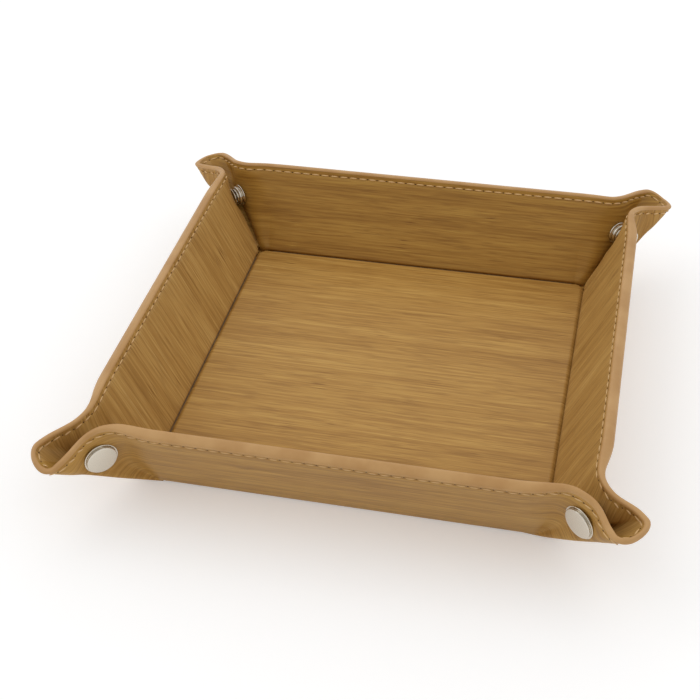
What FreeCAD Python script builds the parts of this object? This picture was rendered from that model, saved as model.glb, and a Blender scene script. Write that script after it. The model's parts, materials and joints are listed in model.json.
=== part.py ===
"""Snap-up valet tray, in millimetres.

A square leatherette blank (cover, stiffening boards, lining) is creased around its base. The four
walls stand up, each corner is pinched into an outward ear, and a press snap holds the ear shut.
Every piece of the blank is drawn flat, with the cover's outer face at Z = 0, and then folded up.
The origin is the middle of the base's underside, the front faces -Y and the tray opens upwards.
"""
import FreeCAD, Part
import math
import os

import Sketcher

SIZES = {
    # base between its creases, and walls from crease to edge, leaning out from upright:
    # a flat blank of 228.6, nine inches
    "base_side": 148.0,
    "wall_height": 40.3,
    "wall_lean": 25.0,
    "corner_radius": 14.0,
    # layers of the blank
    "ply": 1.0,
    "board_thickness": 2.0,
    "edge_band": 0.8,
    # room left along the creases, and the soft length at the root of an ear
    "fold_gap": 0.15,
    "ear_root": 10.0,
    # press snap: cap and socket on one half of an ear, post and stud on the other
    "cap_diameter": 12.5,
    "cap_height": 1.7,
    "cap_rim": 0.5,
    "snap_margin": 0.3,
    "shank_diameter": 2.4,
    "shank_clearance": 0.1,
    "shank_reach": 0.4,
    "socket_diameter": 8.8,
    "socket_height": 3.4,
    "socket_floor": 0.6,
    "stud_diameter": 8.4,
    "stud_flange": 0.6,
    "peg_diameter": 3.8,
    "peg_clearance": 0.3,
    "snap_clearance": 0.8,
    "post_diameter": 9.0,
    "post_height": 1.0,
    # seam along the top edge of each wall
    "stitch_inset": 3.0,
    "stitch_pitch": 4.2,
    "stitch_length": 3.2,
    "stitch_width": 0.7,
    "stitch_height": 0.35,
}

doc = FreeCAD.newDocument("valet_tray")
sheet = doc.addObject("Spreadsheet::Sheet", "sizes")
for row, (size_name, size_value) in enumerate(SIZES.items(), start=1):
    sheet.set(f"A{row}", size_name)
    sheet.set(f"B{row}", str(size_value))
    sheet.setAlias(f"B{row}", size_name)
doc.recompute()

# Lengths worked out from the sheet, as expressions
HALF_BASE = "(sizes.base_side / 2)"
EDGE = f"({HALF_BASE} + sizes.wall_height)"
BAND_START = f"({EDGE} - sizes.edge_band)"
EAR_PLIES = "(2 * sizes.ply)"
SNAP_GAP = "(sizes.socket_height + sizes.snap_clearance + sizes.stud_flange)"
EAR_HALF = f"({EAR_PLIES} + {SNAP_GAP} / 2)"
CORNER_LEG = f"({EAR_HALF} * sqrt(2))"
BOARD_END = f"({HALF_BASE} - {CORNER_LEG})"
TURN_END = f"({BOARD_END} + sizes.ply)"
BOARD_TOP = "(sizes.ply + sizes.board_thickness)"
WALL_THICKNESS = f"({BOARD_TOP} + sizes.ply)"
CREASE_SLOPE = "sin(sizes.wall_lean)"
CREASE_GAP = f"(sizes.fold_gap * sqrt(1 + {CREASE_SLOPE} ^ 2))"
ROOT = f"({HALF_BASE} + sizes.ear_root)"
MITRE = "tan((90 - sizes.wall_lean) / 2)"
EAR_CREASE = f"atan({CREASE_SLOPE})"
OUTER_ROOM = "max(sizes.cap_diameter; sizes.post_diameter) / 2"
INNER_ROOM = f"(max(sizes.socket_diameter; sizes.stud_diameter) / 2 + {EAR_PLIES})"
SNAP_ROOM = f"(max({OUTER_ROOM}; {INNER_ROOM}) + sizes.snap_margin)"
SNAP_DISTANCE = f"({SNAP_ROOM} / sin((45 deg - {EAR_CREASE}) / 2))"
SNAP_U = f"({HALF_BASE} + {SNAP_DISTANCE} * cos((45 deg + {EAR_CREASE}) / 2))"
SNAP_V = f"({BOARD_END} + {SNAP_DISTANCE} * sin((45 deg + {EAR_CREASE}) / 2))"
SHANK_HOLE = "(sizes.shank_diameter + 2 * sizes.shank_clearance)"

WALLS = {"right": 0, "back": 90, "left": 180, "front": 270}
CORNERS = {
    ("right", 1): "back_right",
    ("right", -1): "front_right",
    ("back", 1): "back_left",
    ("back", -1): "back_right",
    ("left", 1): "front_left",
    ("left", -1): "back_left",
    ("front", 1): "front_right",
    ("front", -1): "front_left",
}
CAP_WALLS = ("front", "back")

Y_AXIS = FreeCAD.Vector(0, 1, 0)
Z_AXIS = FreeCAD.Vector(0, 0, 1)
pieces = []


def value(expression):
    """The number that an expression on the sheet comes to."""
    return float(sheet.evalExpression(expression))


def new_body(name):
    """An empty sub-part with its own label, kept in the list of pieces."""
    body = doc.addObject("PartDesign::Body", name)
    body.Label = name
    pieces.append(body)
    return body


def sketch_on(body, role, height="0"):
    """A sketch on one of the body's own origin planes, raised by height."""
    plane = next(item for item in body.Origin.OriginFeatures if item.Role == role)
    sketch = body.newObject("Sketcher::SketchObject", body.Name + "_outline")
    sketch.AttachmentSupport = [(plane, "")]
    sketch.MapMode = "FlatFace"
    sketch.setExpression("AttachmentOffset.Base.z", height)
    return sketch


def constrain(sketch, expression, *terms):
    """A dimension of the sketch that follows an expression."""
    number = sketch.addConstraint(Sketcher.Constraint(*terms, value(expression)))
    sketch.setExpression(f"Constraints[{number}]", expression)


def draw_loop(sketch, corners):
    """A closed loop through corners of two expressions; a third one rounds the side that follows."""
    places = [FreeCAD.Vector(value(corner[0]), value(corner[1]), 0) for corner in corners]
    first = sketch.GeometryCount
    starts = []
    for index, corner in enumerate(corners):
        here = places[index]
        there = places[(index + 1) % len(corners)]
        if len(corner) == 2:
            sketch.addGeometry(Part.LineSegment(here, there))
            starts.append(1)
            continue
        radius = value(corner[2])
        middle = (here + there) / 2
        across = Z_AXIS.cross(there - here).normalize()
        if across.dot(middle) > 0:
            across = -across
        centre = middle + across * math.sqrt(radius ** 2 - ((there - here).Length / 2) ** 2)
        begin = math.atan2(here.y - centre.y, here.x - centre.x)
        end = math.atan2(there.y - centre.y, there.x - centre.x)
        anticlockwise = math.sin(end - begin) > 0
        low, high = (begin, end) if anticlockwise else (end, begin)
        sketch.addGeometry(Part.ArcOfCircle(Part.Circle(centre, Z_AXIS, radius), low, high))
        starts.append(1 if anticlockwise else 2)
    for index, corner in enumerate(corners):
        following = (index + 1) % len(corners)
        line = first + index
        sketch.addConstraint(Sketcher.Constraint(
            "Coincident", line, 3 - starts[index], first + following, starts[following]))
        constrain(sketch, corner[0], "DistanceX", -1, 1, line, starts[index])
        constrain(sketch, corner[1], "DistanceY", -1, 1, line, starts[index])
        if len(corner) == 3:
            constrain(sketch, corner[2], "Radius", line)


def draw_hole(sketch, across, up, diameter):
    """A round hole in the sketch."""
    centre = FreeCAD.Vector(value(across), value(up), 0)
    number = sketch.addGeometry(Part.Circle(centre, Z_AXIS, value(diameter) / 2))
    constrain(sketch, across, "DistanceX", -1, 1, number, 3)
    constrain(sketch, up, "DistanceY", -1, 1, number, 3)
    constrain(sketch, diameter, "Diameter", number)


def pad(body, loops, bottom, thickness, hole=None):
    """A flat layer of the blank, from its outlines, its underside's height and its thickness."""
    sketch = sketch_on(body, "XY_Plane", bottom)
    for corners in loops:
        draw_loop(sketch, corners)
    if hole:
        draw_hole(sketch, *hole)
    layer = body.newObject("PartDesign::Pad", body.Name + "_layer")
    layer.Profile = sketch
    layer.setExpression("Length", thickness)
    body.Tip = layer


def revolve(body, corners):
    """A turned piece, from half of its section: radius across and height up."""
    sketch = sketch_on(body, "XZ_Plane")
    draw_loop(sketch, corners)
    turned = body.newObject("PartDesign::Revolution", body.Name + "_turned")
    turned.Profile = sketch
    turned.ReferenceAxis = (sketch, ["V_Axis"])
    turned.Angle = 360
    body.Tip = turned


def rectangle(low_u, high_u, low_v, high_v):
    """The corners of a rectangle on the flat blank."""
    return [(low_u, low_v), (high_u, low_v), (high_u, high_v), (low_u, high_v)]


def mirrored(corners, side):
    """The same outline at the wall's other end when side is -1."""
    return [(corner[0], f"{side} * ({corner[1]})", *corner[2:]) for corner in corners]


def set_back(height):
    """How far a layer that reaches this high stays behind its crease."""
    return f"(sizes.fold_gap + {height} * {MITRE})"


def crease_v(across, shift):
    """The v of an ear's crease at a given u, shifted towards the ear."""
    return f"({BOARD_END} + ({across} - {HALF_BASE}) * {CREASE_SLOPE} + ({shift}))"


def diagonal_point(along, aside):
    """A point of the flat corner, by its distance along the diagonal and aside from it."""
    return (f"(({along}) + ({aside})) / sqrt(2)", f"(({along}) - ({aside})) / sqrt(2)")


def corner_arc(aside):
    """How far along the diagonal the rounded corner of the blank lies."""
    return (
        f"(sqrt(2) * ({EDGE} - sizes.corner_radius)"
        f" + sqrt(sizes.corner_radius ^ 2 - ({aside}) ^ 2))"
    )


def turn_about(point, axis, degrees):
    """A turn about an axis through a point."""
    return FreeCAD.Placement(FreeCAD.Vector(), FreeCAD.Rotation(axis, degrees), point)


def wall_fold(wall):
    """Stands a wall up from the flat blank."""
    crease = FreeCAD.Vector(value(HALF_BASE), 0, 0)
    up = value("90 - sizes.wall_lean")
    return turn_about(FreeCAD.Vector(), Z_AXIS, WALLS[wall]).multiply(turn_about(crease, Y_AXIS, -up))


def ear_fold(wall, side):
    """Bends an ear outwards from its wall, until it lies along the corner's diagonal."""
    apex = FreeCAD.Vector(value(HALF_BASE), side * value(BOARD_END), 0)
    crease = FreeCAD.Vector(1, side * value(CREASE_SLOPE), 0)
    bend = math.degrees(math.acos(value("cos(sizes.wall_lean) / sqrt(2)")))
    return wall_fold(wall).multiply(turn_about(apex, crease, -side * bend))


def loop_fold(wall, side):
    """Turns an ear's outer strip square to it, towards the other half of the ear."""
    apex = FreeCAD.Vector(value(HALF_BASE), side * value(BOARD_END), 0)
    return ear_fold(wall, side).multiply(turn_about(apex, FreeCAD.Vector(1, side, 0), side * 90))


def make_base():
    """Cover, board and lining of the base: squares with their corners cut off."""
    layers = {
        "base_cover": ("0", "sizes.ply"),
        "base_board": ("sizes.ply", "sizes.board_thickness"),
        "base_lining": (BOARD_TOP, "sizes.ply"),
    }
    for name, (bottom, thickness) in layers.items():
        half = f"({HALF_BASE} - {set_back(f'({bottom} + {thickness})')})"
        short = f"({half} - {CORNER_LEG})"
        outline = [
            (half, f"-{short}"), (half, short), (short, half), (f"-{short}", half),
            (f"-{half}", short), (f"-{half}", f"-{short}"), (f"-{short}", f"-{half}"), (short, f"-{half}"),
        ]
        pad(new_body(name), [outline], bottom, thickness)


def make_wall(wall):
    """Cover, board, lining and edge band of one wall, with the soft ends beyond its board."""
    cover = new_body(wall + "_cover")
    cover_start = f"({HALF_BASE} + {set_back('sizes.ply')})"
    end_low = crease_v(cover_start, f"-{CREASE_GAP}")
    end_high = crease_v(BAND_START, f"-{CREASE_GAP}")
    outline = [(cover_start, f"-{end_low}"), (BAND_START, f"-{end_high}"),
               (BAND_START, end_high), (cover_start, end_low)]
    pad(cover, [outline], "0", "sizes.ply")

    board = new_body(wall + "_board")
    board_start = f"({HALF_BASE} + {set_back(BOARD_TOP)})"
    outline = rectangle(board_start, BAND_START, f"-{BOARD_END}", BOARD_END)
    pad(board, [outline], "sizes.ply", "sizes.board_thickness")

    lining = new_body(wall + "_lining")
    lining_start = f"({HALF_BASE} + {set_back(WALL_THICKNESS)})"
    outline = rectangle(lining_start, BAND_START, f"-{TURN_END}", TURN_END)
    pad(lining, [outline], BOARD_TOP, "sizes.ply")
    turn = rectangle(lining_start, BAND_START, BOARD_END, TURN_END)
    pad(lining, [mirrored(turn, side) for side in (1, -1)], "sizes.ply", "sizes.board_thickness")
    flap_start = f"({HALF_BASE} + sizes.ear_root)"
    flap = [(flap_start, TURN_END), (BAND_START, TURN_END),
            (BAND_START, end_high), (flap_start, crease_v(flap_start, f"-{CREASE_GAP}"))]
    pad(lining, [mirrored(flap, side) for side in (1, -1)], "sizes.ply", "sizes.ply")

    band = new_body(wall + "_edge_band")
    outline = rectangle(BAND_START, EDGE, f"-{TURN_END}", TURN_END)
    pad(band, [outline], "0", WALL_THICKNESS)
    soft = [(BAND_START, TURN_END), (EDGE, TURN_END),
            (EDGE, crease_v(EDGE, f"-{CREASE_GAP}")), (BAND_START, end_high)]
    pad(band, [mirrored(soft, side) for side in (1, -1)], "0", EAR_PLIES)

    for body in (cover, board, lining, band):
        body.Placement = wall_fold(wall)


def make_seam(wall):
    """Stitches along a wall's top edge, a row of short threads on each face."""
    length = value("sizes.stitch_length")
    width = value("sizes.stitch_width")
    height = value("sizes.stitch_height")
    pitch = value("sizes.stitch_pitch")
    across = value(f"{EDGE} - sizes.stitch_inset - sizes.stitch_width / 2")
    count = int(2 * value(BOARD_END) / pitch)
    threads = []
    for bottom in (-height, value(WALL_THICKNESS)):
        for index in range(count):
            start = (index - (count - 1) / 2) * pitch - length / 2
            threads.append(Part.makeBox(width, length, height, FreeCAD.Vector(across, start, bottom)))
    seam = doc.addObject("Part::Feature", wall + "_stitches")
    seam.Label = wall + "_stitches"
    seam.Shape = Part.makeCompound(threads)
    seam.Placement = wall_fold(wall)
    pieces.append(seam)


def make_ear(wall, side):
    """One half of an ear: the flat panel that carries its snap, and the strip of its outer loop."""
    corner = CORNERS[(wall, side)]
    panel = new_body(f"{corner}_ear_{wall}")
    panel_aside = f"({EAR_HALF} + {EAR_PLIES} + sizes.fold_gap)"
    outline = [
        (ROOT, crease_v(ROOT, CREASE_GAP)),
        (EDGE, crease_v(EDGE, CREASE_GAP)),
        (EDGE, f"({EDGE} - sizes.corner_radius)", "sizes.corner_radius"),
        diagonal_point(corner_arc(panel_aside), panel_aside),
        (ROOT, f"({ROOT} - {panel_aside} * sqrt(2))"),
    ]
    hole = (SNAP_U, f"{side} * {SNAP_V}", SHANK_HOLE)
    pad(panel, [mirrored(outline, side)], "0", EAR_PLIES, hole)
    panel.Placement = ear_fold(wall, side)

    strip = new_body(f"{corner}_loop_{wall}")
    root_along = f"((2 * {ROOT} - {CORNER_LEG}) / sqrt(2))"
    outline = [
        diagonal_point(root_along, EAR_HALF),
        (*diagonal_point(corner_arc(EAR_HALF), EAR_HALF), "sizes.corner_radius"),
        diagonal_point(corner_arc("sizes.fold_gap"), "sizes.fold_gap"),
        diagonal_point(root_along, "sizes.fold_gap"),
    ]
    pad(strip, [mirrored(outline, side)], "0", EAR_PLIES)
    strip.Placement = loop_fold(wall, side)


def make_snap_half(wall, side):
    """One half of a press snap, turned about the hole in its ear: cap and socket, or post and stud."""
    corner = CORNERS[(wall, side)]
    shank = "(sizes.shank_diameter / 2)"
    shank_top = f"({EAR_PLIES} + sizes.shank_reach)"
    bore = f"({SHANK_HOLE} / 2)"
    if wall in CAP_WALLS:
        outer = new_body(corner + "_snap_cap")
        rim = "(sizes.cap_diameter / 2)"
        dome = "sizes.cap_height - sizes.cap_rim"
        dome_radius = f"(({rim} ^ 2 + ({dome}) ^ 2) / (2 * ({dome})))"
        revolve(outer, [("0", "-sizes.cap_height", dome_radius), (rim, "-sizes.cap_rim"), (rim, "0"),
                        (shank, "0"), (shank, shank_top), ("0", shank_top)])
        inner = new_body(corner + "_snap_socket")
        wall_radius = "(sizes.socket_diameter / 2)"
        floor_top = f"({EAR_PLIES} + sizes.socket_floor)"
        top = f"({EAR_PLIES} + sizes.socket_height)"
        cup = "(sizes.peg_diameter / 2 + sizes.peg_clearance)"
        revolve(inner, [(bore, EAR_PLIES), (wall_radius, EAR_PLIES), (wall_radius, top),
                        (cup, top), (cup, floor_top), (bore, floor_top)])
    else:
        outer = new_body(corner + "_snap_post")
        rim = "(sizes.post_diameter / 2)"
        revolve(outer, [("0", "-sizes.post_height"), (rim, "-sizes.post_height"), (rim, "0"),
                        (shank, "0"), (shank, shank_top), ("0", shank_top)])
        inner = new_body(corner + "_snap_stud")
        flange = "(sizes.stud_diameter / 2)"
        peg = "(sizes.peg_diameter / 2)"
        flange_top = f"({EAR_PLIES} + sizes.stud_flange)"
        peg_top = f"({EAR_PLIES} + {SNAP_GAP} - sizes.socket_floor - sizes.snap_clearance)"
        recess_top = f"({shank_top} + sizes.shank_clearance)"
        revolve(inner, [(bore, EAR_PLIES), (flange, EAR_PLIES), (flange, flange_top), (peg, flange_top),
                        (peg, peg_top), ("0", peg_top), ("0", recess_top), (bore, recess_top)])
    seat = FreeCAD.Vector(value(SNAP_U), side * value(SNAP_V), 0)
    for body in (outer, inner):
        body.Placement = ear_fold(wall, side).multiply(FreeCAD.Placement(seat, FreeCAD.Rotation()))


make_base()
for wall_name in WALLS:
    make_wall(wall_name)
    make_seam(wall_name)
    for wall_end in (1, -1):
        make_ear(wall_name, wall_end)
        make_snap_half(wall_name, wall_end)
doc.recompute()

for item in doc.Objects:
    if "Invalid" in item.State or "Error" in item.State:
        raise RuntimeError(f"{item.Label} failed: {item.State}")
for piece in pieces:
    if piece.Shape.isNull() or not piece.Shape.isValid() or not piece.Shape.Solids:
        raise RuntimeError(f"{piece.Label} has no valid solid")

os.makedirs("parts", exist_ok=True)
for piece in pieces:
    piece.Shape.exportStep(os.path.join("parts", piece.Label + ".step"))
    print(piece.Label, len(piece.Shape.Solids), round(piece.Shape.Volume, 3))
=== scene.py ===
import json
import math

import bmesh
import bpy
import numpy as np
from mathutils import Matrix, Vector


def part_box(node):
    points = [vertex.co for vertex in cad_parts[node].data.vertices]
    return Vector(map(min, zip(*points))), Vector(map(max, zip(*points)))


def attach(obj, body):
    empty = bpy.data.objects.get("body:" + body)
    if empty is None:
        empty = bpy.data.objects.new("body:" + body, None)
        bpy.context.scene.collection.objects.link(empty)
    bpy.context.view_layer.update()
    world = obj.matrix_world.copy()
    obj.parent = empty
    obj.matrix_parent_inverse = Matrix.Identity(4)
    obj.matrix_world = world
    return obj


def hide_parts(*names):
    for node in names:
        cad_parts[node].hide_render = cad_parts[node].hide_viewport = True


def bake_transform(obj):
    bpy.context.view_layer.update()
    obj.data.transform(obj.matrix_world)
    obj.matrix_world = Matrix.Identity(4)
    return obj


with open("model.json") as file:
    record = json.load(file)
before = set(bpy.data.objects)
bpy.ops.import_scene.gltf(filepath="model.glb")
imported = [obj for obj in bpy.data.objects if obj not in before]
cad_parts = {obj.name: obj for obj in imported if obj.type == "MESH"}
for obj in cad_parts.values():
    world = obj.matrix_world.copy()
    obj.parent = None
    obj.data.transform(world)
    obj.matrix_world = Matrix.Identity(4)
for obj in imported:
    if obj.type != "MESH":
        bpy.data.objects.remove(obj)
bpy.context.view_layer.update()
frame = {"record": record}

# The blank: one square of leatherette, cover outside and lining inside, creased round the base.
# It is drawn flat, with u out from the base and v along a wall, and folded up as the real one is.
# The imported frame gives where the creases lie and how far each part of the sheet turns.
mm = 0.001
joints = {joint["name"]: joint for joint in frame["record"]["behaviour"]["joints"]}
half_base = abs(joints["front_fold"]["pos_m"][1])
apex_v = abs(joints["front_right_ear_front_hinge"]["pos_m"][0])
ratios = {link["joint"]: link["ratio"] for link in frame["record"]["behaviour"]["couplings"]}
wall_turn = math.radians(90 / ratios["front_left_loop_left_hinge"])
lean = math.pi / 2 - wall_turn
ear_turn = math.acos(math.cos(lean) / math.sqrt(2))
ear_half = (half_base - apex_v) / math.sqrt(2)
wall_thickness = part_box("base_lining")[1][2]
ear_thickness = 2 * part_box("base_cover")[1][2]
ply = ear_thickness / 2
wall_height = (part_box("front_edge_band")[1][2] - wall_thickness * math.sin(lean)) / math.cos(lean)
edge = half_base + wall_height
corner_radius = 14 * mm
band_width = 1.1 * mm
seam_inset = 2.8 * mm
base_bend = 2.2 * mm
strip_reach = 7 * mm
inner_half = half_base - strip_reach
neck_pinch = 1.2 * mm
neck_spread = 0.18
fold_spread = 0.12
soft_ramp = 10 * mm
edge_zone = 10 * mm
snap_hold = 10 * mm
neck_top, head_foot = 14 * mm, 26 * mm
spread_foot, spread_top = 24 * mm, 40 * mm
ear_length = 41 * mm
keel_length = 51 * mm
crease_thickness = 1.6 * mm
tiny = 1e-7
slack = 1e-9
ear_crease = math.atan(math.sin(lean))
ear_middle = (ear_crease + math.pi / 4) / 2
WALL_SPIN = {"right": 0, "back": 90, "left": 180, "front": 270}
CORNER = {
    ("right", 1): "back_right", ("right", -1): "front_right", ("back", 1): "back_left",
    ("back", -1): "back_right", ("left", 1): "front_left", ("left", -1): "back_left",
    ("front", 1): "front_right", ("front", -1): "front_left",
}
# Each ear's own shape, lengths in millimetres. side and end: how far its half on a side wall and its
# half on an end wall spread and rise. lift, sway, bow, draw and belly: how its head droops, leans,
# curves, pulls in and sags. snap: how far out the snap lies. start: where round the panel the spread
# starts. neck: how much rounder the neck is at the edge. pull: how far the soft ends of its side wall
# and of its end wall are drawn in.
EAR_SHAPE = {
    "front_left": {"side": (3, 0.5), "end": (3, -1.5), "lift": -2.4, "sway": 1.8, "snap": 32, "start": -0.3,
                   "belly": 1.3, "draw": 2, "neck": 0.1, "bow": 0, "pull": (2.5, 2.5)},
    "front_right": {"side": (4.4, 0), "end": (2, 0), "lift": -0.4, "sway": -0.3, "snap": 33.5, "start": -0.3,
                    "belly": 1, "draw": 2.9, "neck": 0.02, "bow": -0.5, "pull": (2.5, 2.5)},
    "back_left": {"side": (3.4, -0.8), "end": (3.2, 0), "lift": -2, "sway": -1, "snap": 29.5, "start": -0.4,
                  "belly": 0, "draw": 0, "neck": 0.1, "bow": 0, "pull": (2.5, 2.5)},
    "back_right": {"side": (3, 0), "end": (3.6, 1.2), "lift": -1.5, "sway": 1, "snap": 29.5, "start": -0.4,
                   "belly": 0, "draw": 2, "neck": 0.1, "bow": 0, "pull": (2.8, 1)},
}
snap_turn = ear_crease + math.radians(8)


def snap_spot(corner):
    """Where the snap is punched through an ear's half, on the flat blank."""
    reach = EAR_SHAPE[corner]["snap"] * mm
    return np.array([half_base + reach * math.cos(snap_turn), apex_v + reach * math.sin(snap_turn)])


def smooth(value, low, high):
    """Eases from 0 to 1 as value goes from low to high."""
    part = np.clip((value - low) / (high - low), 0, 1)
    return part * part * (3 - 2 * part)


def bend(points, origin, axis, toward, turn, place, reach):
    """Turns the sheet about a crease; place is the flat distance past it, reach half the rounded part."""
    normal = np.cross(axis, toward)
    local = points - origin
    along = local @ axis
    away = local @ toward
    lift = local @ normal
    sign = math.copysign(1, turn)
    size = abs(turn)
    radius = reach / math.tan(size / 2)
    part = size * np.clip((place + reach) / (2 * reach), 0, 1)
    arc_away = -reach + (radius - sign * lift) * np.sin(part)
    arc_lift = sign * (radius - (radius - sign * lift) * np.cos(part))
    far_away = away * math.cos(turn) - lift * math.sin(turn)
    far_lift = away * math.sin(turn) + lift * math.cos(turn)
    away = np.where(place <= -reach, away, np.where(place >= reach, far_away, arc_away))
    lift = np.where(place <= -reach, lift, np.where(place >= reach, far_lift, arc_lift))
    return origin + np.outer(along, axis) + np.outer(away, toward) + np.outer(lift, normal)


def edge_distance(flat):
    """How far inside the blank's cut edge a flat point lies."""
    centre = edge - corner_radius
    over = np.maximum(flat - centre, 0)
    return np.where(over.min(axis=1) > 0, corner_radius - np.hypot(over[:, 0], over[:, 1]),
                    edge - flat.max(axis=1))


def fold_up(flat, height, wall="right", end=1):
    """Folds flat points (u, v) with a height over the cover's outer face up into the right wall."""
    u, v = flat[:, 0], flat[:, 1]
    out, side = u - half_base, v - apex_v
    crease = np.array([math.cos(ear_crease), math.sin(ear_crease), 0])
    across = np.array([-crease[1], crease[0], 0])
    diagonal = np.array([1, 1, 0]) / math.sqrt(2)
    beside = np.array([-1, 1, 0]) / math.sqrt(2)
    apex = np.array([half_base, apex_v, 0])
    past_crease = across[0] * out + across[1] * side
    past_fold = (side - out) / math.sqrt(2)
    up_crease = np.maximum(crease[0] * out + crease[1] * side, 0)
    up_fold = np.maximum((side + out) / math.sqrt(2), 0)
    near_edge = smooth(-edge_distance(flat), -edge_zone, 0)
    turn = np.arctan2(side, np.maximum(out, slack))
    over = (turn - ear_crease) / (math.pi / 4 - ear_crease)
    panel = np.clip(over, 0, 1)
    shape = EAR_SHAPE[CORNER[(wall, end)]]
    from_snap = np.linalg.norm(flat - snap_spot(CORNER[(wall, end)]), axis=1)
    pinned = 1 - np.exp(-(from_snap / snap_hold) ** 4)
    beyond = np.abs(v) - apex_v
    high = smooth(crease[0] * out + crease[1] * beyond, neck_top, head_foot)
    in_corner = (v > inner_half - slack) & (out > -slack)
    ramp = smooth((v - inner_half) / (apex_v + out * math.tan(ear_crease) - inner_half), 0, 1)

    # The soft end of the wall is drawn in towards the neck.
    at_end = wall in ("front", "back")
    pull = np.where(v < 0, EAR_SHAPE[CORNER[(wall, -end)]]["pull"][at_end], shape["pull"][at_end]) * mm
    drawn = pull * smooth(beyond, -6 * mm, 14 * mm) * high * pinned * (1 - smooth(panel, 0, 0.85))
    points = np.column_stack([u, v, height + np.where(out > 0, drawn, 0)])
    fold_reach = np.minimum(ear_half, fold_spread * up_fold) + tiny
    points = bend(points, apex, diagonal, beside, math.pi / 2, np.where(in_corner, past_fold, -1), fold_reach)
    neck_reach = (neck_spread + shape["neck"] * near_edge) * up_crease + tiny
    points = bend(points, apex, crease, across, -ear_turn, np.where(in_corner, past_crease, -1), neck_reach)
    base_reach = base_bend * math.tan(wall_turn / 2) * smooth(-side, 0, 4 * mm) + tiny
    axis = np.array([0, -1, 0])
    points = bend(points, np.array([half_base, 0, 0]), axis, np.array([1, 0, 0]), wall_turn, out, base_reach)

    # The snap pins the two halves together; below it they are pinched shut, beyond it they spread.
    # No two ears are alike: each one sways and droops a little in its own way.
    away = (points[:, 0] - points[:, 1]) / math.sqrt(2)
    along = np.maximum((points[:, 0] + points[:, 1] - half_base - apex_v) / math.sqrt(2), 0)
    pinch = neck_pinch * ramp * smooth(up_crease, 0, 10 * mm) * (1 - high) * (1 - smooth(panel, 0.2, 0.9))
    keel = smooth(panel, 0.7, 1)
    free = smooth(over, shape["start"], 0.65) * pinned * smooth(up_crease, spread_foot, spread_top)
    spread, rise = np.array(shape["end" if at_end else "side"]) * mm
    up_keel = np.clip(up_fold / keel_length, 0, 1)
    spread = spread * (free + keel * (up_keel - free))
    past_neck = smooth(side, 0, 12 * mm)
    tip = (along / ear_length) ** 2 * past_neck
    bowed = np.sin(math.pi * np.clip(along / ear_length, 0, 1)) * past_neck
    opened = np.cos(0.25 * math.pi * np.clip(past_fold / fold_reach + 1, 0, 2))
    shift = (spread * opened - pinch * np.clip(away / (ear_half - ear_thickness), 0, 1)
             + (1 if at_end else -1) * mm * (shape["sway"] * tip + shape["bow"] * bowed))
    sag = keel * np.sin(math.pi * up_keel)
    raised = shape["lift"] * mm * tip + rise * opened * free - shape["belly"] * mm * sag
    moved = (np.outer(shift, [math.sqrt(0.5), -math.sqrt(0.5), 0]) + np.outer(raised, [0, 0, 1])
             - np.outer(shape["draw"] * mm * tip, [math.sqrt(0.5), math.sqrt(0.5), 0]))
    return points + np.where(in_corner[:, None], moved, 0)


def thickness(flat):
    """Thickness of the folded blank: full over the boards, thin at the creases and in the ears."""
    u, v = flat[:, 0], flat[:, 1]
    crease = np.abs(u - half_base)
    valley = smooth(crease, 0.3 * mm, np.where(u < half_base, 4.2 * mm, 3 * mm))
    chamfer = (half_base + apex_v - u - v) / math.sqrt(2)
    corner = np.where(u < half_base, smooth(chamfer, -0.5 * mm, 2 * mm), 1)
    soft_end = np.maximum(soft_ramp, 0.9 * (u - half_base) * math.tan(ear_crease))
    soft = 1 - smooth(np.abs(v) - apex_v, -4 * mm, soft_end)
    past_fold = (v - apex_v - u + half_base) / math.sqrt(2)
    gathered = 0.9 * (1 - smooth(u - half_base, 4 * mm, 12 * mm)) * (1 - smooth(past_fold, -0.5 * mm, 1 * mm))
    soft = np.where(u < half_base, 1, np.maximum(soft, gathered))
    thin = np.where(v > apex_v, ear_thickness, crease_thickness)
    return thin + (wall_thickness - thin) * valley * corner * soft


def seam_dip(flat):
    """The groove that the thread pulls into both faces."""
    depth, breadth = 0.22 * mm, 0.9 * mm
    return depth * np.exp(-((edge_distance(flat) - seam_inset) / breadth) ** 2)


def outer_face(flat):
    """Height of the cover's outer face."""
    return seam_dip(flat)


def inner_face(flat):
    """Height of the lining's inner face."""
    return thickness(flat) - seam_dip(flat)


def under_cover(flat):
    """Height of the cover's glued face."""
    return np.full(len(flat), ply)


def under_lining(flat):
    """Height of the lining's glued face."""
    return np.maximum(thickness(flat) - ply, 0.8 * mm)


def stand(points, wall, end):
    """Takes points of the right wall's back half to another wall, or to a wall's other end."""
    angle = math.radians(WALL_SPIN[wall])
    x, y = points[..., 0], end * points[..., 1]
    turned = [x * math.cos(angle) - y * math.sin(angle), x * math.sin(angle) + y * math.cos(angle)]
    return np.stack(turned + [points[..., i] for i in range(2, points.shape[-1])], axis=-1)


weld_distance = 2e-6
sharp_angle = math.radians(50)


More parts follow.
